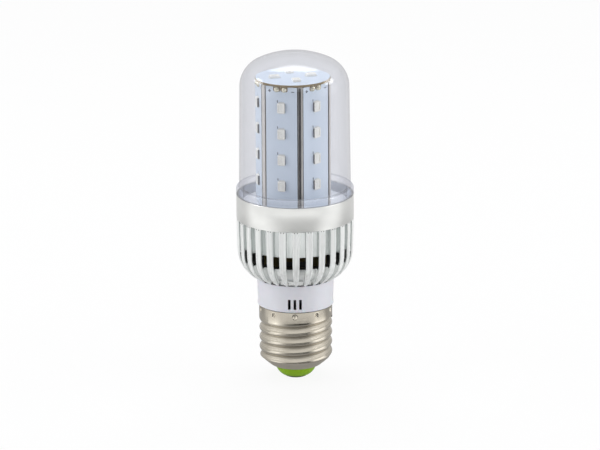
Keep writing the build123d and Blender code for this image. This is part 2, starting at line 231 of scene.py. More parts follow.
class Pile:
    """Collects several small forms into one mesh, each with its material index."""

    def __init__(self):
        self.vertices = []
        self.faces = []
        self.tags = []

    def add(self, form, matrix=Matrix(), tag=0):
        vertices, faces = form
        start = len(self.vertices)
        self.vertices += [tuple(matrix @ Vector(v)) for v in vertices]
        self.faces += [[start + k for k in face] for face in faces]
        self.tags += [tag] * len(faces)

    def piece(self, name, materials, slot, smooth=40):
        mesh = mesh_from(name, self.vertices, self.faces, self.tags)
        return make_object(name, mesh, materials, smooth)


def face_frame(angle, distance, height):
    """On an upright face: local x along the face, y up and z outwards."""
    a = radians(angle)
    out = Vector((cos(a), sin(a), 0))
    along = Vector((-sin(a), cos(a), 0))
    up = Vector((0, 0, 1))
    place = Matrix((along, up, out)).transposed().to_4x4()
    place.translation = out * distance + up * height
    return place


def column_frame(angle, distance, height):
    """A face frame about the column's own centre line."""
    return Matrix.Translation((COLUMN_OFFSET, 0, 0)) @ face_frame(angle, distance, height)


def rectangle(width, height, radius=0.2, steps=3):
    """A closed outline about the origin with rounded corners."""
    x, y = width / 2, height / 2
    return round_corners([(-x, -y), (x, -y), (x, y), (-x, y)], radius, steps)


# Materials. Distances and depths in them are in metres.

FOOT_PAINTED_LIGHT_FADE = (0.0458, 0.0435)
GROOVE_FADE = (0.0129, 0.01245)
GROOVE_ROUGHNESS = 0.34
# Radii over which the neck's painted inner shade fades to its white skin.
NECK_SHADE_FADE = (0.01315, 0.0133)
GRAIN_DEPTH = 0.00004
RING_DEPTH = 0.00002


def new_material(name):
    """A material with its Principled shader and a coordinate in the part's own frame."""
    material = bpy.data.materials.new(name)
    material.use_nodes = True
    tree = material.node_tree
    shader = tree.nodes["Principled BSDF"]
    place = tree.nodes.new("ShaderNodeTexCoord")
    return material, tree, shader, place.outputs["Object"]


def noise(tree, coordinate, scale, detail=3.0, stretch=None):
    """Noise at a scale per metre, stretched along an axis when asked."""
    if stretch:
        mapping = tree.nodes.new("ShaderNodeMapping")
        mapping.inputs["Scale"].default_value = stretch
        tree.links.new(coordinate, mapping.inputs["Vector"])
        coordinate = mapping.outputs["Vector"]
    node = tree.nodes.new("ShaderNodeTexNoise")
    node.inputs["Scale"].default_value = scale
    node.inputs["Detail"].default_value = detail
    tree.links.new(coordinate, node.inputs["Vector"])
    return node.outputs["Fac"]


def ramp(tree, value, stops):
    """A colour ramp from (position, colour) stops."""
    node = tree.nodes.new("ShaderNodeValToRGB")
    elements = node.color_ramp.elements
    while len(elements) < len(stops):
        elements.new(0.5)
    for element, (position, colour) in zip(elements, stops):
        element.position = position
        element.color = (*colour, 1)
    tree.links.new(value, node.inputs["Fac"])
    return node.outputs["Color"]


def spread(tree, value, low, high, start=0.0, end=1.0):
    """Maps start..end to low..high."""
    node = tree.nodes.new("ShaderNodeMapRange")
    node.inputs["From Min"].default_value = start
    node.inputs["From Max"].default_value = end
    node.inputs["To Min"].default_value = low
    node.inputs["To Max"].default_value = high
    tree.links.new(value, node.inputs["Value"])
    return node.outputs["Result"]


def combine(tree, operation, first, second):
    """The result of a maths operation on a socket and a second socket or a number."""
    node = tree.nodes.new("ShaderNodeMath")
    node.operation = operation
    tree.links.new(first, node.inputs[0])
    if isinstance(second, float):
        node.inputs[1].default_value = second
    else:
        tree.links.new(second, node.inputs[1])
    return node.outputs[0]


def mix_colours(tree, factor, first, second):
    """A blend of two colours, each a socket or a plain colour."""
    node = tree.nodes.new("ShaderNodeMix")
    node.data_type = "RGBA"
    tree.links.new(factor, node.inputs["Factor"])
    for name, colour in (("A", first), ("B", second)):
        if isinstance(colour, tuple):
            node.inputs[name].default_value = (*colour, 1)
        else:
            tree.links.new(colour, node.inputs[name])
    return node.outputs["Result"]


def mix_shaders(tree, factor, first, second):
    node = tree.nodes.new("ShaderNodeMixShader")
    tree.links.new(factor, node.inputs["Fac"])
    tree.links.new(first, node.inputs[1])
    tree.links.new(second, node.inputs[2])
    return node.outputs["Shader"]


def bump(tree, shader, height, strength, distance):
    """Relief on a shader, with its depth in metres."""
    node = tree.nodes.new("ShaderNodeBump")
    node.inputs["Strength"].default_value = strength
    node.inputs["Distance"].default_value = distance
    tree.links.new(height, node.inputs["Height"])
    tree.links.new(node.outputs["Normal"], shader.inputs["Normal"])


def plain_finish(name, colour, rough, variation=0.06, grain=900, relief=0.08, metallic=0.0, gloss=0.5):
    """A moulded, cast or plated finish: slight colour drift, uneven gloss and fine relief."""
    material, tree, shader, place = new_material(name)
    drift = noise(tree, place, grain * 0.25)
    dark = tuple(c * (1 - variation) for c in colour)
    light = tuple(min(1, c * (1 + variation)) for c in colour)
    tree.links.new(ramp(tree, drift, [(0.3, dark), (0.7, light)]), shader.inputs["Base Color"])
    fine = noise(tree, place, grain * 4, 6)
    tree.links.new(spread(tree, fine, rough * 0.8, min(1, rough * 1.2)), shader.inputs["Roughness"])
    shader.inputs["Metallic"].default_value = metallic
    shader.inputs["Specular IOR Level"].default_value = gloss
    bump(tree, shader, fine, relief, GRAIN_DEPTH)
    return material


def film_plastic(name, tint, rim_tint, haze, gloss_low, gloss_high):
    """A thin clear wall: a tint that deepens at the rim, a little haze, and a soft gloss.

    Light that falls through it onto the boards isn't dimmed by the tint.
    """
    material, tree, shader, place = new_material(name)
    shader.inputs["Base Color"].default_value = (0.86, 0.87, 0.90, 1)
    shader.inputs["Roughness"].default_value = 0.5
    edge = tree.nodes.new("ShaderNodeLayerWeight")
    edge.inputs["Blend"].default_value = 0.5
    facing = edge.outputs["Facing"]
    see = tree.nodes.new("ShaderNodeBsdfTransparent")
    tree.links.new(ramp(tree, facing, [(0.35, tint), (0.97, rim_tint)]), see.inputs["Color"])
    streaks = spread(tree, noise(tree, place, 90, 4, (1, 1, 0.3)), haze * 0.6, haze * 1.4)
    body = mix_shaders(tree, streaks, see.outputs["BSDF"], shader.outputs["BSDF"])
    gloss = tree.nodes.new("ShaderNodeBsdfGlossy")
    gloss.inputs["Roughness"].default_value = 0.045
    sheen = spread(tree, combine(tree, "POWER", facing, 4.0), gloss_low, gloss_high)
    seen = mix_shaders(tree, sheen, body, gloss.outputs["BSDF"])
    clear = tree.nodes.new("ShaderNodeBsdfTransparent")
    clear.inputs["Color"].default_value = (0.985, 0.987, 0.992, 1)
    path = tree.nodes.new("ShaderNodeLightPath")
    passing = combine(tree, "MAXIMUM", path.outputs["Is Shadow Ray"], path.outputs["Is Diffuse Ray"])
    shown = mix_shaders(tree, passing, seen, clear.outputs["BSDF"])
    tree.links.new(shown, tree.nodes["Material Output"].inputs["Surface"])
    return material


def turned_aluminium():
    """Turned band: fine rings round the axis over a cast body."""
    material, tree, shader, place = new_material("turned_aluminium")
    rings = noise(tree, place, 1000, 2, (0.02, 0.02, 3.2))
    patch = noise(tree, place, 60, 3, (1, 1, 2.5))
    tree.links.new(ramp(tree, patch, [(0.3, (0.70, 0.705, 0.69)), (0.7, (0.77, 0.775, 0.755))]),
                   shader.inputs["Base Color"])
    tree.links.new(spread(tree, rings, 0.26, 0.37), shader.inputs["Roughness"])
    shader.inputs["Metallic"].default_value = 1.0
    bump(tree, shader, rings, 0.08, RING_DEPTH)
    return material


def cast_aluminium(name, low, high, metallic, rough, foot=None):
    """Die-cast skin with fine drag lines along the draw; if a foot colour is given, a painted lighter tone
    at the foot against the shade there.
    """
    material, tree, shader, place = new_material(name)
    lines = noise(tree, place, 900, 3, (1.6, 1.6, 0.02))
    tone = ramp(tree, lines, [(0.35, low), (0.65, high)])
    if foot:
        height = tree.nodes.new("ShaderNodeSeparateXYZ")
        tree.links.new(place, height.inputs["Vector"])
        # Painted light: paler towards the foot.
        fade = spread(tree, height.outputs["Z"], 0, 1, *FOOT_PAINTED_LIGHT_FADE)
        tone = mix_colours(tree, fade, tone, foot)
    tree.links.new(tone, shader.inputs["Base Color"])
    tree.links.new(spread(tree, lines, rough * 0.8, rough * 1.25), shader.inputs["Roughness"])
    shader.inputs["Metallic"].default_value = metallic
    bump(tree, shader, lines, 0.5, GRAIN_DEPTH)
    return material


def axis_distance(tree, place):
    """Distance from the bulb's axis in metres."""
    level = tree.nodes.new("ShaderNodeVectorMath")
    level.operation = "MULTIPLY"
    level.inputs[1].default_value = (1, 1, 0)
    tree.links.new(place, level.inputs[0])
    reach = tree.nodes.new("ShaderNodeVectorMath")
    reach.operation = "LENGTH"
    tree.links.new(level.outputs["Vector"], reach.inputs[0])
    return reach.outputs["Value"]


def nickel():
    """Nickel-plated rolled sheet: bright on the crests, duller in the grooves, with faint rolling marks."""
    material, tree, shader, place = new_material("nickel_plate")
    rings = noise(tree, place, 700, 4, (0.05, 0.05, 2.0))
    patch = noise(tree, place, 160, 3)
    tree.links.new(ramp(tree, patch, [(0.3, (0.51, 0.47, 0.395)), (0.7, (0.58, 0.54, 0.46))]),
                   shader.inputs["Base Color"])
    groove = spread(tree, axis_distance(tree, place), 0, GROOVE_ROUGHNESS, *GROOVE_FADE)
    dull = combine(tree, "ADD", spread(tree, rings, 0.09, 0.15), groove)
    tree.links.new(dull, shader.inputs["Roughness"])
    shader.inputs["Metallic"].default_value = 1.0
    bump(tree, shader, rings, 0.1, RING_DEPTH)
    return material


def neck_plastic():
    """White moulding with painted shade: near black below its outer skin, so that the vents read as
    openings.
    """
    material = plain_finish("white_plastic", (0.71, 0.71, 0.76), 0.42, 0.02, 700, 0.05)
    tree = material.node_tree
    shader = tree.nodes["Principled BSDF"]
    shader.inputs["Subsurface Weight"].default_value = 0.1
    shader.inputs["Subsurface Scale"].default_value = 0.0008
    place = tree.nodes.new("ShaderNodeTexCoord").outputs["Object"]
    # Painted shade: near black inside the outer skin, where the vents are in shade.
    outside = spread(tree, axis_distance(tree, place), 0, 1, *NECK_SHADE_FADE)
    skin = shader.inputs["Base Color"].links[0].from_socket
    tree.links.new(mix_colours(tree, outside, (0.012, 0.01, 0.012), skin), shader.inputs["Base Color"])
    return material


FILM = film_plastic("thin_polycarbonate", (0.86, 0.864, 0.89), (0.79, 0.79, 0.805), 0.04, 0.05, 0.22)
LINING = film_plastic("thin_polycarbonate_bore", (0.99, 0.991, 0.993), (0.982, 0.983, 0.986),
                      0.004, 0.012, 0.02)
MOULDED = film_plastic("moulded_polycarbonate", (0.95, 0.95, 0.966), (0.78, 0.785, 0.825), 0.08, 0.06, 0.30)
TURNED = turned_aluminium()
CAST = cast_aluminium("cast_fins", (0.735, 0.745, 0.735), (0.91, 0.92, 0.91), 0.3, 0.36)
# Slot walls and floors: darker than the fins as painted shade in the slots, and paler at the foot as painted
# light.
SLOT_PAINTED_SHADE = cast_aluminium("cast_slots_painted_shade", (0.59, 0.62, 0.61), (0.78, 0.805, 0.795), 0.52, 0.23,
                      foot=(0.85, 0.865, 0.855))
# Pale bluish: a painted reflection of the blue boards in the deck's metal.
DECK_PAINTED_REFLECTION = plain_finish("cast_deck_painted_reflection", (0.86, 0.88, 0.91), 0.35, 0.08, 500, metallic=0.15)
# Near black: painted shade for the casting's unlit inside, the skin behind the windows and the pits under
# the band.
INSIDE_PAINTED_SHADE = plain_finish("painted_shade_inside", (0.02, 0.019, 0.016), 0.6, 0.3)
NICKEL = nickel()
WHITE_PAINTED_INNER_SHADE = neck_plastic()
GREEN = plain_finish("green_insulator", (0.30, 0.53, 0.02), 0.45, 0.05, gloss=0.2)
CONTACT = plain_finish("contact_metal", (0.045, 0.042, 0.025), 0.4, 0.2, metallic=0.8)
EXTRUDED = plain_finish("extruded_aluminium", (0.70, 0.67, 0.635), 0.3, 0.05, metallic=0.4)
MASK = plain_finish("board_mask", (0.695, 0.78, 0.895), 0.45, 0.02, 300, 0.03)
# Near black: painted shade of the gaps between the boards and the column's ribs.
GAP_SHADE = plain_finish("painted_gap_shade", (0.03, 0.028, 0.028), 0.7, 0.3)
# Near black: painted shade on the side boards' edges, where they sit in the channels.
BOARD_EDGE_SHADE = plain_finish("board_edge_shade", (0.06, 0.05, 0.05), 0.55, 0.2)
BROWN_EDGE = plain_finish("laminate_edge", (0.22, 0.15, 0.05), 0.5, 0.25)
INK = plain_finish("marking_ink", (0.08, 0.09, 0.13), 0.6, 0.2)
LED_BODY = plain_finish("led_moulding", (0.97, 0.95, 0.90), 0.4, 0.03, 2500)
LED_GEL = plain_finish("led_gel", (0.97, 0.96, 0.91), 0.2, 0.04, 3000)
# Dark: painted shade on the LEDs' long sides.
LED_SIDE_SHADE = plain_finish("led_side_shade", (0.16, 0.15, 0.15), 0.5, 0.3, 2500)
DIE = plain_finish("led_die", (0.92, 0.92, 0.86), 0.3, 0.2, 6000)
TINNED = plain_finish("tinned_terminal", (0.76, 0.76, 0.75), 0.35, 0.1, 3000, metallic=0.3)
SOLDER = plain_finish("solder", (0.78, 0.74, 0.58), 0.2, 0.15, 2600, 0.3, metallic=0.6)
FLUX = plain_finish("flux_residue", (0.16, 0.09, 0.02), 0.3, 0.35, 1500)
LAMINATE = plain_finish("driver_laminate", (0.30, 0.25, 0.10), 0.5, 0.1)
SLEEVE = plain_finish("capacitor_sleeve", (0.03, 0.035, 0.05), 0.35, 0.2)
FERRITE = plain_finish("ferrite", (0.05, 0.05, 0.05), 0.6, 0.3)
TAPE = plain_finish("winding_tape", (0.10, 0.07, 0.018), 0.35, 0.1)
EPOXY = plain_finish("epoxy_moulding", (0.03, 0.03, 0.03), 0.5, 0.2)
CERAMIC = plain_finish("resistor_coat", (0.35, 0.38, 0.28), 0.5, 0.1)
BLACK_WIRE = plain_finish("black_insulation", (0.025, 0.025, 0.025), 0.45, 0.2)
RED_WIRE = plain_finish("red_insulation", (0.45, 0.02, 0.015), 0.45, 0.1)
SCREW = plain_finish("zinc_screw", (0.55, 0.55, 0.55), 0.3, 0.1, metallic=1.0)


# Clear cover

def cover_line(inset, steps):
    """Side, corner and crown of the cover, upwards to the axis."""
    corner = COVER_TOP_RADIUS - CORNER_RADIUS
    drop = sqrt((CROWN_RADIUS - CORNER_RADIUS) ** 2 - corner**2)
    join = degrees(atan2(drop, corner))
    side = [(COVER_RADIUS - inset, FLANGE_TOP)]
    side += arc((corner, SIDE_TOP), CORNER_RADIUS - inset, 0, join, steps)
    return side + arc((0, SIDE_TOP - drop), CROWN_RADIUS - inset, join, 90, steps)[1:]


def cover():
    """The moulding in three pieces: flange with its spigot, outer wall with the gate mark, and bore."""
    outside = cover_line(0, 22)
    inside = cover_line(COVER_WALL, 22)
    gate = [(0.75, outside[-1][1] - 0.01), (0.55, APEX + 0.12), (0, APEX + 0.15)]
    outside = [p for p in outside if p[0] > 0.8] + gate
    inside = [(0 if p[0] < 1e-6 else p[0], p[1]) for p in reversed(inside)]
    bore = COVER_RADIUS - COVER_WALL
    foot = DECK_TOP + 0.1
    spigot = [(bore, foot + 0.2), (bore + 0.2, foot), (COVER_RADIUS - 0.2, foot), (COVER_RADIUS, foot + 0.2),
              (COVER_RADIUS, BAND_TOP), (BODY_RADIUS - 0.15, BAND_TOP), (BODY_RADIUS, BAND_TOP + 0.15)]
    rim = arc((BODY_RADIUS - RIM_RADIUS, FLANGE_TOP - RIM_RADIUS), RIM_RADIUS, 0, 90, 8)
    flange = spigot + rim + [(COVER_RADIUS + 0.3, FLANGE_TOP), (bore, FLANGE_TOP)]
    turned_piece("clear_cover_flange", flange, 200, MOULDED, 35, closed=True)
    root = arc((COVER_RADIUS + 0.3, FLANGE_TOP + 0.32), 0.3, 270, 180, 4)
    inside[-1] = (bore, FLANGE_TOP + 0.02)
    turned_piece("clear_cover_bore", inside, 200, LINING, 35)
    piece = turned_piece("clear_cover_shell", root + outside[1:], 200, FILM, 35)
    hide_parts("clear_cover")


# Heat sink

SWEEP_IN = FIN_RADIUS - FOOT_RADIUS
SWEEP_RADIUS = (SWEEP_IN**2 + SWEEP_HEIGHT**2) / (2 * SWEEP_IN)
SWEEP_CENTRE = FIN_RADIUS - SWEEP_RADIUS
SWEEP_TOP = HEATSINK_FOOT + SWEEP_HEIGHT
SWEEP_STEPS = 22
FIN_EDGE = 0.28
FLUTE_DEPTH = 0.07
WINDOW_FACES = 4
SLOT_FACES = 5
FIN_OUTSIDE = BODY_RADIUS - 0.03
HALF_PITCH = pi / FIN_COUNT
FIRST_FIN = radians(FIN_TURN - 90)


def slot_turns():
    """The angle of each slot's middle, in radians."""
    return [FIRST_FIN + 2 * HALF_PITCH * (k + 0.5) for k in range(FIN_COUNT)]


def fin_stations():
    """Points up the fins' outline as (r, z, nr, nz), and which of them is at the windows' foot."""
    start = -degrees(acos((FOOT_RADIUS - SWEEP_CENTRE) / SWEEP_RADIUS))
    stations = []
    for k in range(SWEEP_STEPS + 1):
        a = radians(start * (1 - k / SWEEP_STEPS))
        r, z = SWEEP_CENTRE + SWEEP_RADIUS * cos(a), SWEEP_TOP + SWEEP_RADIUS * sin(a)
        stations.append((r, z, cos(a), sin(a)))
    for z in (WINDOW_TOP, 52.0, 53.8, DRAFT_TOP, 57.0, 58.5, BAND_FOOT):
        r = FIN_RADIUS + (FIN_OUTSIDE - FIN_RADIUS) * min(1, (z - SWEEP_TOP) / (DRAFT_TOP - SWEEP_TOP))
        stations.append((r, z, 1, 0))
    floor_at_foot = [k for k, s in enumerate(stations) if s[1] - SLOT_DEPTH * s[3] < WINDOW_FOOT][-1]
    return stations, floor_at_foot


def sector_points(r, z, nr, nz):
    """From a slot's middle to the next fin's middle at a station: (x along the radius, y across, height)."""
    half = SLOT_WIDTH / 2

    def at(depth, across=None, angle=None):
        radius = r - depth * nr
        height = z - depth * nz
        turn = asin(across / radius) if angle is None else angle
        return (radius * cos(turn), radius * sin(turn), height)

    side = [at(SLOT_DEPTH, angle=0), at(SLOT_DEPTH, half * 0.55), at(SLOT_DEPTH - 0.05, half * 0.88),
            at(SLOT_DEPTH - 0.3, half), at(FIN_SKIN, half), at(FIN_EDGE, half),
            at(FIN_EDGE * 0.3, half + FIN_EDGE * 0.3), at(0.0, half + FIN_EDGE)]
    start = asin((half + FIN_EDGE) / r)
    flutes = [(0.25, 0.0), (0.32, FLUTE_DEPTH), (0.40, 0.0), (0.62, 0.0), (0.70, FLUTE_DEPTH), (0.78, 0.0),
              (1.0, 0.0)]
    face = [at(depth, angle=start + (HALF_PITCH - start) * t) for t, depth in flutes]
    return side + face


def fins():
    """Fins and slots round the casting, with the windows left open."""
    stations, window_low = fin_stations()
    window_high = [k for k, s in enumerate(stations) if s[1] >= WINDOW_TOP][0]
    rows = []
    vertices = []
    for station in stations:
        half_row = sector_points(*station)
        ring = []
        for turn in slot_turns():
            mirrored = [(x, -y, z) for x, y, z in reversed(half_row[1:-1])]
            for x, y, z in mirrored + half_row:
                ring.append(len(vertices))
                vertices.append((x * cos(turn) - y * sin(turn), x * sin(turn) + y * cos(turn), z))
        rows.append(ring)
    per = len(half_row) * 2 - 2
    middle = len(half_row) - 2
    faces = []
    tags = []
    for level, (low, high) in enumerate(zip(rows, rows[1:])):
        open_here = window_low <= level < window_high
        for k, face in enumerate(between(low, high)):
            from_middle = abs(k % per - middle + 0.5)
            if open_here and from_middle < WINDOW_FACES:
                continue
            faces.append(face)
            # Slot faces take the slot material, darker as painted shade.
            tags.append(1 if from_middle < SLOT_FACES else 0)
    mesh = mesh_from("heatsink_fins", vertices, faces, tags)
    piece = make_object("heatsink_fins", mesh, [CAST, SLOT_PAINTED_SHADE], 50)
    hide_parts("heatsink")


def fin_backs():
    """The skin behind each fin beside the windows, the slots' upper ends and the pits under the band; the
    skin, its ledges and the pits are near black, as painted shade and painted shadow.
    """
    pile = Pile()
    half = SLOT_WIDTH / 2
    inner, outer, rim = BODY_RADIUS - SLOT_DEPTH - 0.4, FIN_RADIUS - FIN_SKIN, BODY_RADIUS - 0.08
    reach = HALF_PITCH - asin(half / outer)
    skin = [(outer * cos(a), outer * sin(a), z) for z in (WINDOW_FOOT, WINDOW_TOP) for a in (-reach, reach)]
    ledges = [[(r * cos(a), r * sin(a), z) for r in (inner, outer) for a in (-reach, reach)]
              for z in (WINDOW_FOOT, WINDOW_TOP)]
    roof = [(inner, -half, BAND_FOOT), (rim, -half - 0.3, BAND_FOOT), (rim, half + 0.3, BAND_FOOT),
            (inner, half, BAND_FOOT)]
    # Pits: flat near-black discs, a painted shadow under the band's edge.
    pit_shadows = [[(BODY_RADIUS - 0.015, side * 0.5 + 0.2 * cos(a), BAND_FOOT - 0.3 + 0.16 * sin(a))
             for a in (2 * pi * n / 10 for n in range(10))] for side in (-1, 1)]
    for slot_turn in slot_turns():
        turn = Matrix.Rotation(slot_turn - HALF_PITCH, 4, "Z")
        for patch in (skin, *ledges):
            pile.add((patch, [[0, 1, 3, 2]]), turn, 1)
        pile.add(flat(roof), Matrix.Rotation(slot_turn, 4, "Z"))
        for pit_shadow in pit_shadows:
            pile.add(flat(pit_shadow), turn, 1)
    pile.piece("heatsink_fin_backs", [SLOT_PAINTED_SHADE, INSIDE_PAINTED_SHADE], "cast_aluminium")


def casting_inside():
    """The casting's inner walls, below the windows and from there up to the deck, near black as painted
    shade.
    """
    inset = SLOT_DEPTH + CAST_WALL
    bore = FIN_RADIUS - inset
    low = -degrees(acos((BORE_FOOT_RADIUS - SWEEP_CENTRE) / (SWEEP_RADIUS - inset)))
    slot_floor = FIN_RADIUS - SLOT_DEPTH
    lower = [(FOOT_RADIUS, HEATSINK_FOOT), (BORE_FOOT_RADIUS, HEATSINK_FOOT)]
    sweep = arc((SWEEP_CENTRE, SWEEP_TOP), SWEEP_RADIUS - inset, low, 0, 12)
    lower += [p for p in sweep if p[1] < WINDOW_FOOT]
    lower += [(bore - 0.2, WINDOW_FOOT), (slot_floor - 0.15, WINDOW_FOOT)]
    upper = [(slot_floor, WINDOW_TOP), (bore, WINDOW_TOP), (bore, DECK_FOOT), (0, DECK_FOOT)]
    for name, outline in (("heatsink_lower_bore", lower), ("heatsink_upper_bore", upper)):
        turned_piece(name, outline, 120, INSIDE_PAINTED_SHADE)


def slot_feet():
    """Closes each slot at the foot, above the neck, in the slot material, painted lighter there."""
    pile = Pile()
    nr = (FOOT_RADIUS - SWEEP_CENTRE) / SWEEP_RADIUS
    nz = -sqrt(1 - nr**2)
    r = FOOT_RADIUS - SLOT_DEPTH * nr
    z = HEATSINK_FOOT - SLOT_DEPTH * nz
    half = SLOT_WIDTH / 2
    foot = flat([(r, -half, HEATSINK_FOOT), (r, half, HEATSINK_FOOT), (r, half, z), (r, -half, z)])
    for turn in slot_turns():
        pile.add(foot, Matrix.Rotation(turn, 4, "Z"))
    pile.piece("heatsink_slot_feet", [SLOT_PAINTED_SHADE], "cast_aluminium")


def band():
    """The turned band with its cup and deck; the deck's pale bluish tone is a painted reflection of the
    boards.
    """
    bore = COVER_RADIUS + COVER_FIT
    cup = [(0, DECK_TOP), (bore, DECK_TOP), (bore, BAND_TOP - 0.1), (bore + 0.1, BAND_TOP)]
    turned_piece("heatsink_deck", cup, 160, DECK_PAINTED_REFLECTION, 30)
    outline = [(bore + 0.1, BAND_TOP), (BODY_RADIUS - 0.12, BAND_TOP), (BODY_RADIUS, BAND_TOP - 0.12),
               (BODY_RADIUS, BAND_FOOT + 0.1), (BODY_RADIUS - 0.05, BAND_FOOT)]
    turned_piece("heatsink_band", outline, 220, TURNED, 30)


# Screw shell

WAVE_POWER = 0.85
RUN_OUT_HEIGHT = 0.75
DENT_POWER = 0.8


def shell_radius(turn, z):
    """The shell's outside radius at an angle in radians and a height in millimetres."""
    crest = SKIRT_FOOT + THREAD_PITCH * (turn - pi) / (2 * pi)
    phase = (z - crest) / THREAD_PITCH
    phase -= round(phase)
    wave = 0.5 + 0.5 * cos(2 * pi * phase)
    root = THREAD_RADIUS - THREAD_DEPTH
    threaded = root + THREAD_DEPTH * wave**WAVE_POWER
    top = SKIRT_FOOT + THREAD_PITCH * ((turn - pi) / (2 * pi) - 0.1)
    top = min(max(top, SKIRT_FOOT - 0.8), SKIRT_FOOT + 0.6)
    blend = min(1, max(0, (z - top) / RUN_OUT_HEIGHT))
    blend = blend * blend * (3 - 2 * blend)
    radius = threaded + (SKIRT_RADIUS - threaded) * blend
    low = max(0.0, (z - SHELL_FOOT) / SHOULDER_HEIGHT)
    shoulder = TIP_RADIUS + (SKIRT_RADIUS - TIP_RADIUS) * (low * 0.9 + 0.1 * min(1, low) ** 0.5)
    return min(radius, shoulder)


def dent(turn, z):
    """How far a crimp mark pushes the skirt in."""
    share = (turn + pi / 2 - radians(BASE_TURN)) / (2 * pi) * DENT_COUNT
    across = (share - round(share)) / DENT_COUNT * 2 * pi * SKIRT_RADIUS
    up = z - (SHELL_TOP - DENT_DROP)
    reach = hypot(across / DENT_HALF_WIDTH, up / DENT_HALF_HEIGHT)
    return DENT_DEPTH * max(0, 1 - reach) ** DENT_POWER


def screw_shell():
    """The rolled sheet from the hole in its end, over the thread and skirt, to the turned-in rim."""
    steps = 400
    rise = 0.12
    heights = [SHELL_FOOT + rise * k for k in range(int((SHELL_TOP - SHELL_FOOT) / rise))] + [SHELL_TOP]
    turns = [2 * pi * k / steps for k in range(steps)]
    r = TIP_HOLE_RADIUS
    vertices = [(r * cos(turn), r * sin(turn), SHELL_FOOT + 0.02) for turn in turns]
    for z in heights:
        for turn in turns:
            r = shell_radius(turn, z) - dent(turn, z)
            vertices.append((r * cos(turn), r * sin(turn), z))
    r = SKIRT_RADIUS - SHEET
    for z in (SHELL_TOP, SHELL_TOP - 1.2):
        vertices += [(r * cos(turn), r * sin(turn), z) for turn in turns]
    rings = [range(start, start + steps) for start in range(0, len(vertices), steps)]
    faces = [face for low, high in zip(rings, rings[1:]) for face in between(low, high)]
    mesh = mesh_from("screw_shell_thread", vertices, faces)
    piece = make_object("screw_shell_thread", mesh, [NICKEL], 60)
    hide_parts("screw_shell")


def insulator_and_contact():
    """The plug's rounded side between its flat tip and the shell's hole, and the contact button below it."""
    side = arc((2.2, 5.2), 5.3, -56, -4, 14)
    outline = [(0, 0.56), (4.4, 0.56)] + [p for p in side if p[1] > 0.75] + [(6.9, 4.9), (6.9, 5.6)]
    piece = turned_piece("insulator_plug", outline, 120, GREEN, 50)
    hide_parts("insulator")
    button = [(0, 0), (3.8, 0.0), (4.05, 0.12), (4.2, 0.35), (4.2, 0.58), (0, 0.58)]
    contact = turned_piece("contact_button", button, 96, CONTACT)
    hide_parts("centre_contact")


# LED column, boards and LEDs

BOARD_SLIDES = (0.1, -0.05, 0.12, -0.1, 0.02, -0.22)
# Boards whose painted gap shade lies over the rib beside them, not in the channel.
RIB_SHADE_BOARDS = (1, 4)
END_GAP = 0.1
MASK_LIFT = 0.004
INK_LIFT = 0.012
GAP_SHADE_EDGE = 6.125
GAP_SHADE_WIDTH = 0.6


def led_form(pile, place):
    """One LED: moulded case with a well, gel, die, and a tinned terminal at each end.

    The materials are numbered case, gel, die, terminals and the case's two long sides, whose dark colour is
    painted shade.
    """
    w, h, t = LED_SIZE
    gel = t - 0.2
    outer = rectangle(w, h, 0.25)
    lip = [(x * 0.96, y * 0.97) for x, y in outer]
    well = rectangle(w - 0.7, h - 0.8, 0.5)
    bed = rectangle(w - 1.1, h - 1.2, 0.4)
    levels = [(outer, 0), (outer, t - 0.12), (lip, t), (well, t), (bed, t - 0.22)]
    vertices = [(x, y, z) for ring, z in levels for x, y in ring]
    n = len(outer)
    rings = [range(n * level, n * (level + 1)) for level in range(len(levels))]
    faces = [face for low, high in zip(rings, rings[1:]) for face in between(low, high)]
    sides = [face for face in faces[:n] if abs(vertices[face[0]][0] + vertices[face[1]][0]) > w - 0.1]
    pile.add((vertices, sides), place, 4)
    pile.add((vertices, [face for face in faces if face not in sides]), place, 0)
    pile.add(flat([(x, y, gel) for x, y in bed]), place, 1)
    pile.add(prism(rectangle(0.4, 0.6, 0.1), gel, gel + 0.08, 0.03), place, 2)
    for end in (-1, 1):
        pad = [(x, y + end * (h / 2 + 0.18)) for x, y in rectangle(w * 0.8, 0.36, 0.08)]
        pile.add(prism(pad, 0, 0.14, 0.04), place, 3)


def sign_forms(plus):
    """A small polarity mark as thin bars in the board's own plane."""
    bars = [(1.05, 0.32), (0.32, 1.05)] if plus else [(1.05, 0.32)]
    return [rectangle(*bar, 0.05) for bar in bars]


def strip_form(start, end, height, lift):
    """A strip up the whole of a board's face, between two places across it."""
    top = height - END_GAP
    return flat([(start, END_GAP, lift), (end, END_GAP, lift), (end, top, lift), (start, top, lift)])


def board_marks(place, height, led_heights):
    """Polarity marks at the board's top and a tick beside each LED."""
    marks = Pile()
    outlines = [[(x + side * SIGN_REACH - 0.1, y + height - SIGN_DROP) for x, y in bar]
                for side, plus in ((-1, True), (1, False)) for bar in sign_forms(plus)]
    outlines += [[(x - 1.5, y + led_height + 2.3) for x, y in rectangle(0.32, 0.85, 0.05)]
                 for led_height in led_heights]
    for outline in outlines:
        marks.add(flat([(x, y, INK_LIFT) for x, y in outline]), place)
    return marks


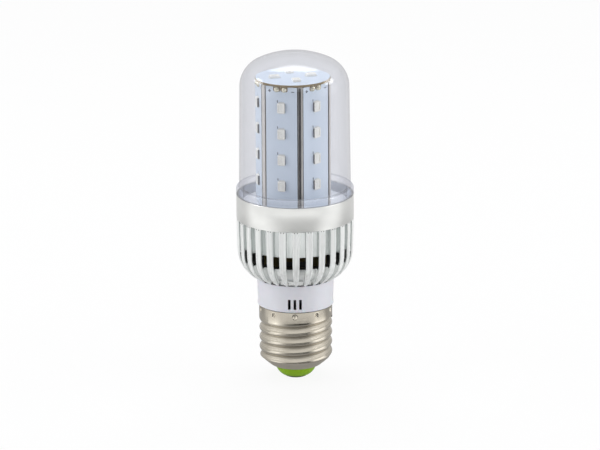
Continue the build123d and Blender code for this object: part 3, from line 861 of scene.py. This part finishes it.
def side_boards():
    """The six boards in the column's channels, with strips of painted shade at their edges, marks and LEDs.
    """
    height = COLUMN_TOP - DECK_TOP
    pitch = (height - FIRST_LED_RISE - LAST_LED_DROP) / (LED_ROWS - 1)
    led_heights = [FIRST_LED_RISE + pitch * row for row in range(LED_ROWS)]
    for number in range(6):
        name = f"side_board_{number + 1}"
        place = column_frame(COLUMN_TURN + 60 * number, FACE_DISTANCE, DECK_TOP)
        slide = BOARD_SLIDES[number]
        outline = [(x + slide, y + height / 2) for x, y in rectangle(BOARD_WIDTH, height - END_GAP, 0.15)]
        pile = Pile()
        # The board's body is near black, painted shade that shows as a dark rim beside the mask.
        pile.add(prism(outline, -BOARD_THICKNESS, 0, 0.05), place, 1)
        pile.add(flat([(x * 0.985, y, MASK_LIFT) for x, y in outline]), place, 0)
        # Painted shade: dark strips in the channel beside the board, or over the rib on the listed boards.
        for side, neighbour in ((-1, number - 1), (1, number)):
            if neighbour not in RIB_SHADE_BOARDS:
                outer, inner = side * GAP_SHADE_EDGE, side * (GAP_SHADE_EDGE - GAP_SHADE_WIDTH)
                pile.add(strip_form(outer, inner, height, 0.02 - BOARD_THICKNESS), place, 2)
        if number in RIB_SHADE_BOARDS:
            pile.add(strip_form(GAP_SHADE_EDGE + 0.22, GAP_SHADE_EDGE + 1.12, height, INK_LIFT), place, 2)
        board = pile.piece(name + "_plate", [MASK, BOARD_EDGE_SHADE, GAP_SHADE], "board_mask")
        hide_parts(name)
        board_marks(place, height, led_heights).piece(name + "_marks", [INK], "board_mask")
        leds = Pile()
        for led_height in led_heights:
            led_form(leds, place @ Matrix.Translation((0, led_height, 0.005)))
        node = f"side_leds_{number + 1}"
        piece = leds.piece(node + "_packages", [LED_BODY, LED_GEL, DIE, TINNED, LED_SIDE_SHADE], "led_package", 30)
        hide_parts(node)


def top_board():
    """The round board on the column, with its brown edge and four LEDs."""
    radius = TOP_BOARD_RADIUS
    low, high = COLUMN_TOP, COLUMN_TOP + BOARD_THICKNESS
    face = [(0, high), (radius - 0.12, high)]
    edge = [(radius - 0.12, high), (radius, high - 0.1), (radius, low + 0.1), (radius - 0.1, low), (0, low)]
    for name, outline, finish in (("top_board_face", face, MASK), ("top_board_edge", edge, BROWN_EDGE)):
        mesh = lathe(name, outline, 120, closed=False)
        mesh.transform(Matrix.Translation((COLUMN_OFFSET * MM, 0, 0)))
        make_object(name, mesh, [finish])
    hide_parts("top_board")
    leds = Pile()
    for turn in range(0, 360, 90):
        x, y = polar(TOP_LED_RADIUS, COLUMN_TURN - 90 + turn)
        spot = Matrix.Translation((x + COLUMN_OFFSET, y, high))
        led_form(leds, spot @ Matrix.Rotation(radians(COLUMN_TURN + turn), 4, "Z"))
    piece = leds.piece("top_leds_packages", [LED_BODY, LED_GEL, DIE, TINNED, LED_BODY], "led_package", 30)
    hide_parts("top_leds")


def solder_blob(seed):
    """A rounded joint: wide where it wets the board and pulled up to the board above."""
    steps, levels = 16, 9
    vertices = []
    for level in range(1, levels):
        t = pi * level / levels
        for k in range(steps):
            a = 2 * pi * k / steps
            lump = 1 + 0.08 * sin(3 * a + seed) + 0.05 * sin(5 * t + seed * 2)
            x = sin(t) * cos(a) * lump
            z = 0.95 * sin(t) * sin(a) * lump
            vertices.append((x * (1 - 0.12 * cos(t)), -1.05 + 1.1 * cos(t), max(z, 0) + 0.02))
    rings = [range(start, start + steps) for start in range(0, len(vertices), steps)]
    faces = [face for low, high in zip(rings, rings[1:]) for face in between(low, high)]
    top, foot = len(vertices), len(vertices) + 1
    vertices += [(0, 0.1, 0), (0, -2.15, 0)]
    for k in range(steps):
        n = (k + 1) % steps
        faces += [[top, rings[0][n], rings[0][k]], [rings[-1][k], rings[-1][n], foot]]
    return vertices, faces


def corner_solder():
    """Two joints between each side board and the top board, each on a stain of flux."""
    pile = Pile()
    stain = [(x * 1.15, y - 0.95, 0.03) for x, y in rectangle(2.3, 2.1, 0.8, 5)]
    for number in range(6):
        top = column_frame(COLUMN_TURN + 60 * number, FACE_DISTANCE, COLUMN_TOP)
        for side in (-1, 1):
            place = top @ Matrix.Translation((side * 1.35 - 0.35, 0.1, 0))
            pile.add(solder_blob(number * 2.1 + side), place, 0)
            pile.add(flat(stain), place, 1)
    piece = pile.piece("corner_solder_joints", [SOLDER, FLUX], "solder", 60)
    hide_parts("corner_solder")


# Base cup, column and inner parts

def dress_nodes():
    """Gives the solids that are shown as they are their finished materials."""
    looks = {
        # The base cup's white finish carries painted shade inside its vents.
        "base_cup": WHITE_PAINTED_INNER_SHADE,
        "led_column": EXTRUDED,
        "column_screws": SCREW,
        "driver_board": LAMINATE,
        "input_capacitor": SLEEVE,
        "output_capacitor": SLEEVE,
        "transformer_core": FERRITE,
        "transformer_winding": TAPE,
        "bridge_rectifier": EPOXY,
        "driver_chip": EPOXY,
        "fuse_resistor": CERAMIC,
        "contact_lead": BLACK_WIRE,
        "shell_lead": BLACK_WIRE,
        "led_lead_plus": RED_WIRE,
        "led_lead_minus": BLACK_WIRE,
    }
    for node, material in looks.items():
        for slot in frame["nodes"][node].material_slots:
            slot.link = "OBJECT"
            slot.material = material


# Studio

SHOT_DISTANCE = 1.2
SHOT_ELEVATION = 16.38
SHOT_HEIGHT = 0.05638
SHOT_ROLL = -0.33
FOCAL_PIXELS = 3348.5
PICTURE_WIDTH = 600
AXIS_PIXEL = 295.2
SENSOR_WIDTH = 36
BULB_MIDDLE = 0.06
GLARE_HEIGHT = 0.113


def camera():
    """The photo's own view, fitted to the ellipses of the flange, band, neck and shell."""
    data = bpy.data.cameras.new("camera")
    data.sensor_width = SENSOR_WIDTH
    data.lens = FOCAL_PIXELS / PICTURE_WIDTH * SENSOR_WIDTH
    data.shift_x = (PICTURE_WIDTH / 2 - AXIS_PIXEL) / PICTURE_WIDTH
    data.clip_start, data.clip_end = 0.05, 20
    view = bpy.data.objects.new("camera", data)
    bpy.context.collection.objects.link(view)
    e = radians(SHOT_ELEVATION)
    place = Vector((0, -cos(e), sin(e))) * SHOT_DISTANCE + Vector((0, 0, SHOT_HEIGHT))
    turn = Matrix.Rotation(pi / 2 - e, 4, "X") @ Matrix.Rotation(radians(SHOT_ROLL), 4, "Z")
    view.matrix_world = Matrix.Translation(place) @ turn
    bpy.context.scene.camera = view


def face_bulb(thing, azimuth, elevation, distance, height, front):
    """Places a lamp or a card so that its front looks at a height on the bulb's axis, in metres."""
    a, e = radians(azimuth), radians(elevation)
    out = Vector((sin(a) * cos(e), -cos(a) * cos(e), sin(e)))
    thing.location = out * distance + Vector((0, 0, height))
    thing.rotation_mode = "QUATERNION"
    thing.rotation_quaternion = (-out).to_track_quat(front, "Y")


def lamp(name, azimuth, elevation, distance, size, power):
    """An area lamp that looks at the bulb's middle and that no reflection shows."""
    data = bpy.data.lights.new(name, "AREA")
    data.shape = "RECTANGLE"
    data.size, data.size_y = size
    data.energy = power
    light = bpy.data.objects.new(name, data)
    bpy.context.collection.objects.link(light)
    light.visible_glossy = False
    face_bulb(light, azimuth, elevation, distance, BULB_MIDDLE, "-Z")


def background_mix(tree, lit, white, share=1.0):
    """Shows a share of white to camera, glossy and transmission rays, and the lit shader to the rest."""
    path = tree.nodes.new("ShaderNodeLightPath")
    seen = combine(tree, "MAXIMUM", path.outputs["Is Camera Ray"], path.outputs["Is Glossy Ray"])
    seen = combine(tree, "MAXIMUM", seen, path.outputs["Is Transmission Ray"])
    return mix_shaders(tree, combine(tree, "MULTIPLY", seen, share), lit, white)


def world(level):
    """An even sky: it lights with the given level and is seen as white."""
    sky = bpy.data.worlds.new("studio")
    bpy.context.scene.world = sky
    sky.use_nodes = True
    tree = sky.node_tree
    lit = tree.nodes["Background"]
    lit.inputs["Color"].default_value = (0.97, 0.985, 1, 1)
    lit.inputs["Strength"].default_value = level
    white = tree.nodes.new("ShaderNodeBackground")
    white.inputs["Color"].default_value = (1, 1, 1, 1)
    white.inputs["Strength"].default_value = 1.0
    shown = background_mix(tree, lit.outputs["Background"], white.outputs["Background"])
    tree.links.new(shown, tree.nodes["World Output"].inputs["Surface"])


def floor():
    """A plain pale floor that shows almost white and keeps a little of the bulb's shadow."""
    r, z = 4000, -0.02
    mesh = mesh_from("floor", *flat([(-r, -r, z), (r, -r, z), (r, r, z), (-r, r, z)]))
    ground = bpy.data.objects.new("floor", mesh)
    bpy.context.collection.objects.link(ground)
    material, tree, shader, place = new_material("floor")
    grain = noise(tree, place, 40)
    tree.links.new(ramp(tree, grain, [(0, (0.80, 0.80, 0.80)), (1, (0.84, 0.84, 0.84))]),
                   shader.inputs["Base Color"])
    shader.inputs["Roughness"].default_value = 0.9
    white = tree.nodes.new("ShaderNodeEmission")
    white.inputs["Strength"].default_value = 1.0
    shown = background_mix(tree, shader.outputs["BSDF"], white.outputs["Emission"], 0.9)
    tree.links.new(shown, tree.nodes["Material Output"].inputs["Surface"])
    mesh.materials.append(material)


FULL_GLOW = 2.0


def stage_card(name, mesh, material):
    """A card that only reflections show."""
    card = bpy.data.objects.new(name, mesh)
    bpy.context.collection.objects.link(card)
    for kind in ("camera", "diffuse", "transmission", "shadow", "volume_scatter"):
        setattr(card, "visible_" + kind, False)
    mesh.materials.append(material)
    return card


def card_finish(name, level):
    """A glow with a faint unevenness. Returns the material, its tree and the glow's node."""
    material, tree, shader, place = new_material(name)
    tree.nodes.remove(shader)
    tone = tree.nodes.new("ShaderNodeEmission")
    drift = noise(tree, place, 30)
    tree.links.new(spread(tree, drift, level * 0.96, level * 1.04), tone.inputs["Strength"])
    tree.links.new(tone.outputs["Emission"], tree.nodes["Material Output"].inputs["Surface"])
    return material, tree, tone


def round_tone(name, tones):
    """A glow whose level runs smoothly through (azimuth, level) pairs round the bulb."""
    material, tree, tone = card_finish(name + "_tone", FULL_GLOW)
    turn = tree.nodes.new("ShaderNodeTexGradient")
    turn.gradient_type = "RADIAL"
    place = tree.nodes.new("ShaderNodeTexCoord")
    tree.links.new(place.outputs["Object"], turn.inputs["Vector"])
    stops = sorted(((azimuth / 360 + 0.25) % 1, (level / FULL_GLOW,) * 3) for azimuth, level in tones)
    tree.links.new(ramp(tree, turn.outputs["Fac"], stops), tone.inputs["Color"])
    return material


def round_card(name, low, high, tones):
    """A card right round the bulb between two (radius, height) circles."""
    mesh = lathe(name, (low, high), 90, closed=False)
    stage_card(name, mesh, round_tone(name, tones))


def glow_card(name, azimuth, elevation, distance, height, size, level):
    """A bright card with soft edges that faces a point on the bulb's axis. Its sizes are in metres."""
    w, h = (side / 2 / MM for side in size)
    mesh = mesh_from(name, *flat([(-w, -h, 0), (w, -h, 0), (w, h, 0), (-w, h, 0)]))
    material, tree, tone = card_finish(name + "_tone", level)
    place = tree.nodes.new("ShaderNodeTexCoord")
    mapping = tree.nodes.new("ShaderNodeMapping")
    mapping.inputs["Scale"].default_value = (2 / size[0], 2 / size[1], 1)
    tree.links.new(place.outputs["Object"], mapping.inputs["Vector"])
    fade = tree.nodes.new("ShaderNodeTexGradient")
    fade.gradient_type = "SPHERICAL"
    tree.links.new(mapping.outputs["Vector"], fade.inputs["Vector"])
    soft = ramp(tree, fade.outputs["Fac"], [(0.0, (0, 0, 0)), (0.45, (1, 1, 1))])
    tree.links.new(soft, tone.inputs["Color"])
    card = stage_card(name, mesh, material)
    face_bulb(card, azimuth, elevation, distance, height, "Z")


# What the metal reflects: rings on the floor and a low wall round the bulb. Each has its two circles
# in millimetres and its levels as (azimuth, level) pairs, with 0 in front and 90 to the right.

CARD_LIFT = 0.03
FLOOR_RINGS = {
    "floor_under": (1, 24, [(-90, 0.45), (90, 0.45)]),
    "floor_root": (24, 44, [
        (-130, 0.5), (-96, 0.6), (-84, 0.9), (-60, 1.1), (-42, 0.8), (-20, 0.3),
        (36, 0.22), (50, 0.8), (62, 1.2), (92, 1.1), (106, 0.6), (130, 0.5)]),
    "floor_groove": (44, 56, [
        (-130, 0.5), (-96, 0.6), (-84, 1.1), (-60, 1.5), (-44, 0.9), (-24, 0.3), (10, 0.1),
        (36, 0.1), (50, 0.8), (62, 1.5), (92, 1.3), (106, 0.6), (130, 0.5)]),
    "floor_thread": (56, 84, [
        (-130, 0.5), (-96, 0.65), (-84, 1.3), (-60, 2.0), (-44, 1.1), (-28, 0.45), (-8, 0.18),
        (14, 0.05), (36, 0.05), (50, 0.9), (62, 2.0), (92, 1.8), (106, 0.6), (130, 0.5)]),
    "floor_skirt": (84, 112, [
        (-112, 0.5), (-96, 0.95), (-20, 1.0), (60, 1.0), (84, 0.9), (102, 0.5), (120, 0.45), (234, 0.45)]),
    "floor_middle": (112, 150, [
        (-104, 0.8), (-98, 1.1), (-62, 1.4), (-44, 0.8), (-28, 0.3), (-10, 0.15),
        (38, 0.15), (52, 0.9), (62, 1.4), (96, 1.1), (104, 0.6), (240, 0.6)]),
    "floor_band": (150, 300, [
        (-104, 0.8), (-98, 1.25), (-88, 1.25), (-74, 0.9), (-44, 1.1), (-24, 1.7),
        (34, 1.7), (58, 0.95), (76, 1.22), (90, 1.22), (104, 0.8), (240, 0.8)]),
    "floor_far": (300, 700, [
        (-112, 0.8), (-64, 1.1), (-44, 0.7), (-26, 0.3), (40, 0.25), (52, 0.8), (66, 1.2), (112, 0.8)]),
}
WALL_RADIUS = 700
WALL_HEIGHT = 310
WALL_TONES = [
    (-110, 0.7), (-84, 1.3), (-60, 2.0), (-44, 0.9), (-28, 0.25), (-10, 0.05), (38, 0.05),
    (50, 0.8), (62, 2.0), (92, 1.8), (108, 0.7), (180, 0.58)]


cover()
fins()
fin_backs()
casting_inside()
slot_feet()
band()
screw_shell()
insulator_and_contact()
side_boards()
top_board()
corner_solder()
dress_nodes()

camera()
world(level=0.58)
floor()
for side, azimuth in (("right", 84), ("left", -88)):
    lamp("side_" + side, azimuth, elevation=24, distance=0.95, size=(0.8, 0.8), power=3.4)
    glow_card("glare_" + side, azimuth, elevation=25, distance=0.15, height=GLARE_HEIGHT,
              size=(0.085, 0.055), level=9.0)
lamp("top_soft", azimuth=180, elevation=68, distance=0.9, size=(0.75, 0.4), power=3.2)
glow_card("dome_highlight", azimuth=180, elevation=68, distance=0.9, height=BULB_MIDDLE,
          size=(1.05, 0.42), level=8.0)
for ring, (near, far, tones) in FLOOR_RINGS.items():
    round_card(ring, (near, CARD_LIFT), (far, CARD_LIFT), tones)
round_card("low_wall", (WALL_RADIUS, 0), (WALL_RADIUS, WALL_HEIGHT), WALL_TONES)

bpy.context.scene.view_settings.view_transform = "Standard"
